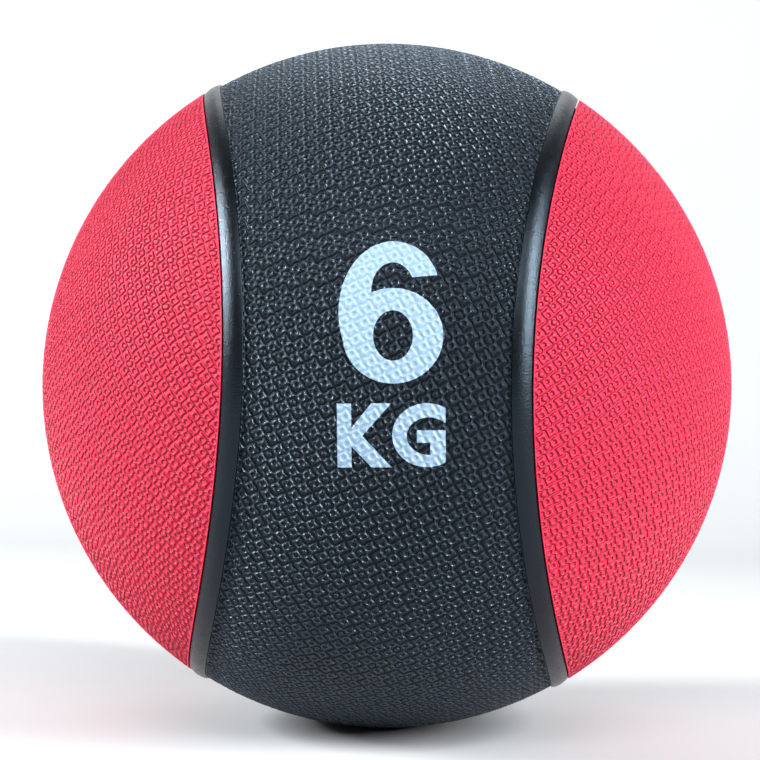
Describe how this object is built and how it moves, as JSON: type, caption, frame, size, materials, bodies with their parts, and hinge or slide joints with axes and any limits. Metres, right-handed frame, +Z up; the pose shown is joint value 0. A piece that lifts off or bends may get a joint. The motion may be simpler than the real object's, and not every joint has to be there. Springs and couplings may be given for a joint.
{
  "type": "medicine ball",
  "caption": "Weighted rubber exercise ball with two textured side panels, a textured centre band, raised seam strips and a needle valve.",
  "frame": {"origin": "centre of the ball", "axes": "+X towards the right side panel, -Y towards the marking, +Y out of the valve, +Z up"},
  "size_m": [0.23, 0.2282, 0.2284],
  "materials": {
    "red_rubber": "matte, moulded texture",
    "black_rubber": "satin, moulded texture",
    "strip_rubber": "smooth satin",
    "marking_ink": "matte print",
    "filled_rubber": "matte",
    "nylon_thread": "wound thread",
    "butyl_rubber": "smooth",
    "valve_rubber": "smooth",
    "insert_rubber": "smooth"
  },
  "bodies": {
    "root": {"left_cap_cover": "red_rubber", "right_cap_cover": "red_rubber", "centre_band_cover": "black_rubber", "left_strip": "strip_rubber", "right_strip": "strip_rubber", "weight_number": "marking_ink", "weight_unit": "marking_ink", "carcass_front": "filled_rubber", "carcass_back": "filled_rubber", "thread_winding": "nylon_thread", "bladder": "butyl_rubber", "valve_housing": "valve_rubber", "valve_insert": "insert_rubber"}
  },
  "joints": []
}
